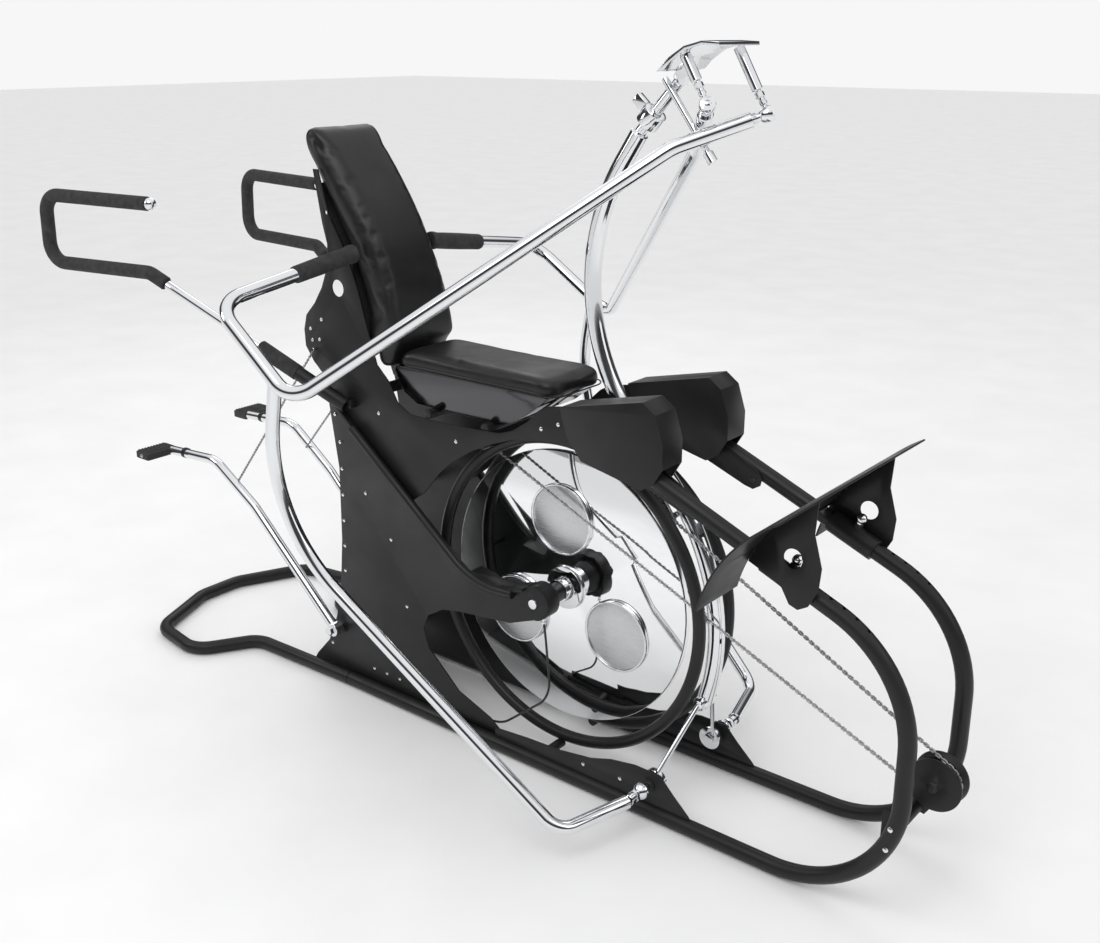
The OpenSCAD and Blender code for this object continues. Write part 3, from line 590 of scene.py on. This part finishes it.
# %% [markdown]
# ## Press arms
# Each arm is a chrome tube that starts in a foam grip beside the back pad, sweeps out and round the
# elbow and climbs to the far side of the yoke, with a second tube from the elbow down to the pivot at
# the floor. The fittings at both ends are turned: socket, lock nut and sleeve.

# %% Arms, grips and end fittings
PIVOT_X, PIVOT_Z, PIVOT_Y = 383, 89, 178
REACH = 560


def arm(side, name, top, knee):
    """Both tubes, the grip and the fittings of one arm."""
    knee = Vector(knee)
    run = (top - knee).normalized()
    hand, outer = Vector((-550, side * 138, 1229)), Vector((-545, side * REACH, 1170))
    upper = bent_line([hand, outer, (-285, side * (REACH + 18), 992), knee, top - run * 34],
                      [80, 70, 120], 4)
    lower = bent_line([(-340, side * (REACH + 14), 1024), (-400, side * (REACH + 15), 700),
                       (330, side * 420, 84), (PIVOT_X, side * (PIVOT_Y + 56), PIVOT_Z)], [400, 60], 3)
    make("press_arm_tube_" + name, [swept(upper, 34, "chrome", 32), swept(lower, 32, "chrome", 32)],
         name + "_arm", ["press_arm_" + name])
    grip_run = (outer - hand).normalized()
    swell = [(-4, 19), (-3, 22), (2, 23.4), (12, 23.4), (18, 21.4), (60, 21.9), (110, 21.9), (160, 21.2),
             (186, 21), (190, 20), (190.5, 17.4)]
    make("grip_sleeve_" + name, [turned(hand, grip_run, swell, "foam", 48)],
         name + "_arm", ["grip_" + name])
    socket = [(-33.8, 9.5), (-33, 11), (-24, 11), (-23.5, 9), (-18, 9)]
    cup = [(-18, 9), (-15, 12.5), (-10, 15.2), (-4, 17.4), (4, 17.4), (9, 15.6), (9.5, 13)]
    out = Vector((0, side, 0))
    pivot = Vector((PIVOT_X, side * PIVOT_Y, PIVOT_Z))
    lower_steps = [(0, 19), (2, 21), (10, 19), (16, 13), (19, 9), (24, 9), (24, 12), (25, 13), (34, 13),
                   (34.5, 10.5), (37, 10.5), (37.5, 13), (50.6, 13), (51.6, 12)]
    make("arm_fittings_" + name,
         [turned(top, run, socket, "chrome"), turned(top, run, cup, "chrome"),
          hexagon(top - run * 33, run, 24, 8),
          turned(pivot, out, lower_steps, "chrome"), hexagon(pivot + out * 24, out, 30, 9)],
         name + "_arm", ["arm_ends_" + name])
    return upper


right_upper = arm(-1, "right", BALL_R, (348, -80, 1526))
arm(1, "left", BALL_L, (306, 80, 1510))
print("arm centre line has", len(right_upper), "points")

# %% [markdown]
# ## Chains
# A chain drawn as a bar never looks right, because the light breaks on every link. Each link here is
# a small rounded loop of wire, and every second one is turned a quarter. The links are laid along the
# same line as the plain bar in the model. A run that is pulled by a moving part is hung on no body;
# its links stay where they are made.

# %% One chain along a line
WIRE_SHARE, PITCH_SHARE = 0.21, 0.85  # a link's wire radius and spacing, as shares of the chain's width


def chain(line, width, skin="chain"):
    """Alternating wire loops along a line of points; width is the chain's own, in millimetres."""
    wire, pitch = width * WIRE_SHARE, width * PITCH_SHARE
    half, bow = pitch * 0.7, width / 2 - wire
    lengths = [(b - a).length for a, b in zip(line, line[1:])]
    count = int(sum(lengths) / (pitch * MM))
    corners, faces = [], []
    around, sides = 12, 6
    for n in range(count):
        distance, i = (n + 0.5) * sum(lengths) / count, 0
        while distance > lengths[i] and i < len(lengths) - 1:
            distance -= lengths[i]
            i += 1
        along = (line[i + 1] - line[i]).normalized()
        centre = line[i] + along * distance
        flat = along.cross(Vector((0, 1, 0))).normalized()
        across = Matrix.Rotation(math.radians(45 + 90 * (n % 2)), 3, along) @ flat
        base = len(corners)
        for a in range(around):
            turn = 2 * math.pi * (a + 0.5) / around
            push = half - bow if math.cos(turn) > 0 else bow - half
            spot = along * (push + bow * math.cos(turn)) + across * bow * math.sin(turn)
            outward = along * math.cos(turn) + across * math.sin(turn)
            up = along.cross(across)
            for k in range(sides):
                roll = 2 * math.pi * k / sides
                round_wire = (outward * math.cos(roll) + up * math.sin(roll)) * wire
                corners.append(centre + (spot + round_wire) * MM)
        for a in range(around):
            here, there = base + a * sides, base + (a + 1) % around * sides
            faces += [[here + k, there + k, there + (k + 1) % sides, here + (k + 1) % sides]
                      for k in range(sides)]
    return corners, faces, skin


# %% Drive chain over the front pulley, and its moving run
CHAIN_D = 9
CHAIN_Y = -34
PULLEY = Vector((1015, CHAIN_Y, 300))
PULLEY_R = 48
TIP, REAR_END = Vector((347, CHAIN_Y, 713)), Vector((-180, CHAIN_Y, 771))


def tangent(point, upper):
    """Where a run from a point meets the pulley, as in the model."""
    run = (PULLEY - point).normalized()
    square = Vector((-run.z, 0, run.x)) * PULLEY_R
    return PULLEY + square if upper else PULLEY - square


top_touch, low_touch = tangent(TIP, True), tangent(REAR_END, False)
angles = [math.atan2(p.z - PULLEY.z, p.x - PULLEY.x) for p in (top_touch, low_touch)]
wrap = [PULLEY + PULLEY_R * Vector((math.cos(a), 0, math.sin(a)))
        for a in [angles[0] + (angles[1] - angles[0]) * k / 24 for k in range(25)]]
make("drive_chain_links", [chain([p * MM for p in wrap + [REAR_END]], CHAIN_D)],
     "frame", ["drive_chain_lower"])

run_start, run_end = TIP + (top_touch - TIP).normalized() * 2, top_touch
moving_run = make("drive_chain_moving_run", [chain([run_start * MM, run_end * MM], CHAIN_D)], None,
                  ["drive_chain_upper"])
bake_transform(moving_run)
print("links meet the pulley at", [round(v) for v in top_touch])

# %% Step lever chains
LEVER_PIVOT = Vector((-690, 0, 160))
CHAIN2_Y = 129.7
for side, name, z in ((-1, "right", 508), (1, "left", 543)):
    low, high = Vector((-1100, side * CHAIN2_Y, z)), Vector((-731, side * CHAIN2_Y, 954))
    middle = [low.lerp(high, k / 12) * MM for k in range(13)]
    links = make("step_chain_links_" + name, [chain(middle, 7)], None, ["step_chain_" + name])
    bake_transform(links)

# %% [markdown]
# ## Step levers and pedals
# Each lever is a thin chrome tube bent twice. Its pedal is a moulded rubber block on a plate, with
# ribs across the top for grip and a chamfered outline.

# %% Levers
LEVER_Y = 147.7
PEDAL_LONG, PEDAL_WIDE = 105, 60


def slab(low, high, ease, skin):
    """A box with all edges eased: low and high corners in millimetres."""
    low, high = Vector(low), Vector(high)
    rings = []
    for z, inset in ((low.z, ease), (low.z + ease, 0), (high.z - ease, 0), (high.z, ease)):
        ring = []
        for sx, sy in ((0, 0), (1, 0), (1, 1), (0, 1)):
            corner = Vector((high.x if sx else low.x, high.y if sy else low.y, z))
            to_x, to_y = (-1 if sx else 1), (-1 if sy else 1)
            first = corner + Vector((to_x * inset, to_y * (inset + ease), 0))
            second = corner + Vector((to_x * (inset + ease), to_y * inset, 0))
            ring += [first, second] if sx == sy else [second, first]
        rings += ring
    return [c * MM for c in rings], ring_faces(4, 8), skin


def lever(side, name, tip_z, bend_x, bend_z):
    """Lever tube with its pivot boss, and the ribbed pedal block."""
    y = side * LEVER_Y
    line = bent_line([(-1392, y, tip_z), (-1180, y, tip_z + 12), (bend_x, y, bend_z),
                      (LEVER_PIVOT.x, y, LEVER_PIVOT.z)], [90, 140], 4)
    boss = [(0, 19), (1, 20), (27, 20), (28, 19)]
    clip = (line[0].lerp(line[1], 0.5) / MM)
    make("step_lever_tube_" + name,
         [swept(line, 28, "chrome", 28),
          turned((LEVER_PIVOT.x, y - 14, LEVER_PIVOT.z), (0, 1, 0), boss, "chrome"),
          turned(clip - Vector((30, 0, 0)), (1, 0, 0), [(0, 14.6), (1, 15.6), (13, 15.6), (14, 14.6)], "coat")],
         name + "_step", ["step_lever_" + name])
    far = y + side * (PEDAL_LONG - 16)
    near = y - side * 16
    y0, y1 = min(near, far), max(near, far)
    x0, x1 = -1392 - PEDAL_WIDE, -1393
    block = [slab((x0, y0, tip_z - 14), (x1, y1, tip_z + 9.5), 3, "rubber")]
    ribs = 9
    for i in range(ribs):
        start = y0 + 6 + i * (y1 - y0 - 12) / ribs
        block.append(slab((x0 + 4, start, tip_z + 8), (x1 - 4, start + 6, tip_z + 12), 1.2, "rubber"))
    end = Vector(((x0 + x1) / 2, far - side * 0.5, tip_z - 2))
    block.append(dome(end, (0, side, 0), 13, "zinc"))
    make("pedal_block_" + name, block, name + "_step", ["pedal_" + name])


lever(-1, "right", 545, -1010, 450)
lever(1, "left", 588, -1015, 480)

# %% [markdown]
# ## Rear handles
# A foam sleeve covers each bent handle from the telescoping tube to its tip, and a chrome ball closes
# the end. The foam's cut edge is slightly rounded, which the sweep already gives.

# %% Foam bends and ball ends
SOCKET_A, SOCKET_B = Vector((-600, -142, 829)), Vector((-850, -208, 958))
for side, name in ((-1, "right"), (1, "left")):
    def mirrored(v):
        return Vector((v[0], v[1] * -side, v[2]))
    a, b = mirrored(SOCKET_A), mirrored(SOCKET_B)
    run = (b - a).normalized()
    grip = b + run * 330
    line = bent_line([grip + run * 0.2, grip + run * 60, mirrored((-1585, -352, 1128)),
                      mirrored((-1575, -352, 1318)), mirrored((-1165, -296, 1318))], [50, 55, 55], 5)
    make("handle_sleeve_" + name,
         [swept(line, 38, "foam", 28, 0.16), ball(mirrored((-1158, -295, 1318)), 34, "chrome")],
         name + "_handle", ["handle_foam_" + name])
    make("socket_sleeve_" + name,
         [turned(b - run * 128, run, [(0, 19.6), (1, 21), (127, 21.4), (129, 20), (130, 13)], "foam", 40)],
         "frame")
print("handles made")

# %% [markdown]
# ## Pull pins
# A polished ball knob lifts each sprung pin out of its hole in the rail.

# %% Knobs
for side, name in ((-1, "right"), (1, "left")):
    base = Vector((RAIL_HIGH[0], side * SIDE_Y, RAIL_HIGH[1])) + rail_run * 405
    steps = [(19.3, 4), (33, 4), (33.3, 7), (34, 8), (37, 8), (38, 6), (40, 5)]
    make("pull_knob_" + name, [turned(base, rail_up, steps, "chrome"), ball(base + rail_up * 46, 24, "chrome")],
         name + "_pin", ["pull_pin_" + name])

# %% [markdown]
# ## Cushions
# Foam under vinyl is never flat: the cover is stretched over the foam and pulled down to the board at
# its edge, so the face crowns and the corners stay round. Each cushion starts as a slightly small
# block in the place the model gives it. The block is remeshed into small squares, blown up a little as
# cloth, and held back so no point moves too far. A welt runs along the foot of the seat, where its cover is
# sewn.

# %% Blow a block up as cloth
CLOTH_FRAMES = 20
PRESSURE = 3.0
MOST_MOVE = 0.006  # metres that a point of a cover may move


def inflate(piece, voxel, pressure, cap, seat=None):
    """Cloth with pressure, kept near its start; seat is a height that it may not sink below."""
    apply_all(piece)
    remesh = piece.modifiers.new("even_squares", "REMESH")
    remesh.mode = "VOXEL"
    remesh.voxel_size = voxel
    apply_all(piece)
    start = [v.co.copy() for v in piece.data.vertices]
    cloth = piece.modifiers.new("cover", "CLOTH")
    cloth.settings.quality = 5
    cloth.settings.mass = 0.3
    cloth.settings.tension_stiffness = 15
    cloth.settings.bending_stiffness = 3
    cloth.settings.use_pressure = True
    cloth.settings.uniform_pressure_force = pressure
    cloth.settings.effector_weights.gravity = 0
    for number in range(1, CLOTH_FRAMES + 1):
        bpy.context.scene.frame_set(number)
    apply_all(piece)
    bpy.context.scene.frame_set(1)
    for vertex, home in zip(piece.data.vertices, start):
        move = vertex.co - home
        if move.length > cap:
            vertex.co = home + move.normalized() * cap
        if seat is not None and vertex.co.z < seat:
            vertex.co.z = seat
    smooth = piece.modifiers.new("even_out", "SMOOTH")
    smooth.factor = 0.5
    smooth.iterations = 6
    apply_all(piece)
    piece.data.shade_smooth()
    print(piece.name, "has", len(piece.data.vertices), "corners")


def paint_vinyl(piece):
    """Dress a cushion's new mesh in vinyl."""
    piece.data.materials.clear()
    piece.data.materials.append(vinyl)


# %% Seat cushion
seat_low, seat_high = (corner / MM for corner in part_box("seat_cushion"))


def plan(inset, front_round, back_round):
    """The seat's outline seen from above, pulled in by inset."""
    x0, x1 = seat_low.x + inset, seat_high.x - inset
    y0, y1 = seat_low.y + inset, seat_high.y - inset
    outline = []
    for cx, cy, r, first in ((x1, y1, front_round, 0), (x0, y1, back_round, 90),
                             (x0, y0, back_round, 180), (x1, y0, front_round, 270)):
        inner = Vector((cx - r if cx > 0 else cx + r, cy - r if cy > 0 else cy + r))
        for k in range(8):
            angle = math.radians(first + 90 * k / 7)
            outline.append(Vector((inner.x + r * math.cos(angle), inner.y + r * math.sin(angle), 0)))
    return outline


seat_rings = []
thick = seat_high.z - seat_low.z
for height, inset in ((0.0, 5), (0.12, 2.5), (0.45, 2), (0.7, 5), (0.86, 12), (0.92, 26)):
    for corner in plan(inset, 46 - inset * 0.5, 22):
        seat_rings.append((corner + Vector((0, 0, seat_low.z + thick * height))) * MM)
seat_pad = make("seat_cushion_cover", [(seat_rings, ring_faces(6, 32), "vinyl")], None, ["seat_cushion"])
inflate(seat_pad, 0.0055, PRESSURE, MOST_MOVE, seat_low.z * MM)
paint_vinyl(seat_pad)
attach(seat_pad, "frame")

# %% Welt round the foot of the seat cover
welt = [c * MM + Vector((0, 0, (seat_low.z + 4.5) * MM)) for c in plan(-0.6, 46, 22)]
make("seat_welt", [swept(welt + [welt[0]], 3.6, "vinyl", 10)], "frame")

# %% Back cushion
BACK_W = 220
back_profile = [(-513, 936), (-528, 998), (-545.5, 1080), (-572.5, 1160),
                (-606.5, 1240), (-655.5, 1320), (-702, 1392),
                (-738, 1455), (-752, 1490), (-748, 1515), (-728, 1528), (-702, 1520), (-660, 1475),
                (-600, 1400), (-545, 1320), (-495, 1225), (-462, 1130), (-445, 1060), (-438, 1005),
                (-448, 996), (-466, 975), (-472, 936)]


def rounded(points, rounds=2):
    """Cut the corners of a closed outline until it runs smoothly."""
    for _ in range(rounds):
        eased = []
        for a, b in zip(points, points[1:] + points[:1]):
            a, b = Vector(a), Vector(b)
            eased += [a.lerp(b, 0.25), a.lerp(b, 0.75)]
        points = eased
    return points


outline = rounded(back_profile)
centre = sum(outline, Vector((0, 0))) / len(outline)
back_rings = []
half = BACK_W / 2
for y, inset in ((-half + 2, 17), (-half + 3.5, 9), (-half + 9, 4), (-half + 20, 1.5), (half - 20, 1.5),
                 (half - 9, 4), (half - 3.5, 9), (half - 2, 17)):
    count = len(outline)
    for i, spot in enumerate(outline):
        run = (outline[(i + 1) % count] - outline[i - 1]).normalized()
        inward = Vector((-run.y, run.x))
        if inward.dot(centre - spot) < 0:
            inward = -inward
        moved = spot + inward * inset
        back_rings.append(Vector((moved.x, y, moved.y)) * MM)
back_pad = make("back_cushion_cover", [(back_rings, ring_faces(8, len(outline)), "vinyl")], None,
                ["back_cushion"])
inflate(back_pad, 0.006, PRESSURE, MOST_MOVE)
paint_vinyl(back_pad)
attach(back_pad, "frame")

# %% [markdown]
# ## Light, floor and camera
# Polished metal shows its surroundings, so it needs something dark to show as well as something pale.
# The world is evenly pale for the camera and for matt surfaces, but what the metal sees runs from a
# bright ceiling, through a dark band, to a paler floor. Four soft lamps give the shape, the smallest
# of them for the rim of the back pad. The floor is a plain pale sheet.

# %% World
world = bpy.data.worlds.new("studio")
bpy.context.scene.world = world
world.use_nodes = True
tree = world.node_tree
background = tree.nodes["Background"]
place = tree.nodes.new("ShaderNodeTexCoord")
split = tree.nodes.new("ShaderNodeSeparateXYZ")
ramp = tree.nodes.new("ShaderNodeValToRGB")
tree.links.new(place.outputs["Generated"], split.inputs["Vector"])
tree.links.new(split.outputs["Z"], ramp.inputs["Fac"])
stops = ramp.color_ramp.elements
stops[0].position, stops[0].color = 0.0, (0.30, 0.30, 0.31, 1)
stops[1].position, stops[1].color = 1.0, (1.0, 1.0, 1.0, 1)
for position, level in ((0.06, 0.10), (0.12, 0.04), (0.42, 0.07), (0.56, 0.90)):
    stop = stops.new(position)
    stop.color = (level, level, level * 1.02, 1)
rays = tree.nodes.new("ShaderNodeLightPath")
pale = tree.nodes.new("ShaderNodeBackground")
pale.inputs["Color"].default_value = (0.93, 0.93, 0.93, 1)
blend_rays = tree.nodes.new("ShaderNodeMixShader")
tree.links.new(ramp.outputs["Color"], background.inputs["Color"])
tree.links.new(rays.outputs["Is Glossy Ray"], blend_rays.inputs["Fac"])
tree.links.new(pale.outputs["Background"], blend_rays.inputs[1])
tree.links.new(background.outputs["Background"], blend_rays.inputs[2])
tree.links.new(blend_rays.outputs["Shader"], tree.nodes["World Output"].inputs["Surface"])

# %% Lamps
def lamp(name, place, aim, size, power):
    """A square soft lamp that points at a spot."""
    light = bpy.data.lights.new(name, "AREA")
    light.size = size
    light.energy = power
    holder = bpy.data.objects.new(name, light)
    holder.location = place
    holder.rotation_euler = (Vector(aim) - Vector(place)).to_track_quat("-Z", "Y").to_euler()
    bpy.context.scene.collection.objects.link(holder)


lamp("key_lamp", (0.5, -2.6, 4.0), (0, 0, 0.7), 2.6, 42)
lamp("side_lamp", (4.2, 0.6, 2.6), (0, 0, 0.8), 2.2, 16)
lamp("rear_lamp", (-3.4, 2.8, 3.4), (-0.3, 0, 0.8), 2.4, 22)
lamp("rim_lamp", (-2.6, -1.9, 2.2), (-0.5, 0, 1.2), 0.9, 9)

# %% Floor
floor_mesh = bpy.data.meshes.new("floor")
FLOOR = 40
floor_mesh.from_pydata([(-FLOOR, -FLOOR, 0), (FLOOR, -FLOOR, 0), (FLOOR, FLOOR, 0),
                        (-FLOOR, FLOOR, 0)], [], [(0, 1, 2, 3)])
floor_paint, tree, shader = finish("pale_floor", (0.86, 0.86, 0.86), 0.75)
tint(tree, shader, noise(tree, 3), (0.84, 0.84, 0.84), (0.88, 0.88, 0.88))
floor_mesh.materials.append(floor_paint)
floor = bpy.data.objects.new("floor", floor_mesh)
bpy.context.scene.collection.objects.link(floor)

# %% Camera
camera_data = bpy.data.cameras.new("view")
camera_data.sensor_width = 36
camera_data.lens = 41
camera = bpy.data.objects.new("view", camera_data)
camera.location = (1.784, -2.255, 1.742)
camera.rotation_euler = (math.radians(70.78), 0, math.radians(38.85))
bpy.context.scene.collection.objects.link(camera)
bpy.context.scene.camera = camera
bpy.context.scene.view_settings.view_transform = "Standard"
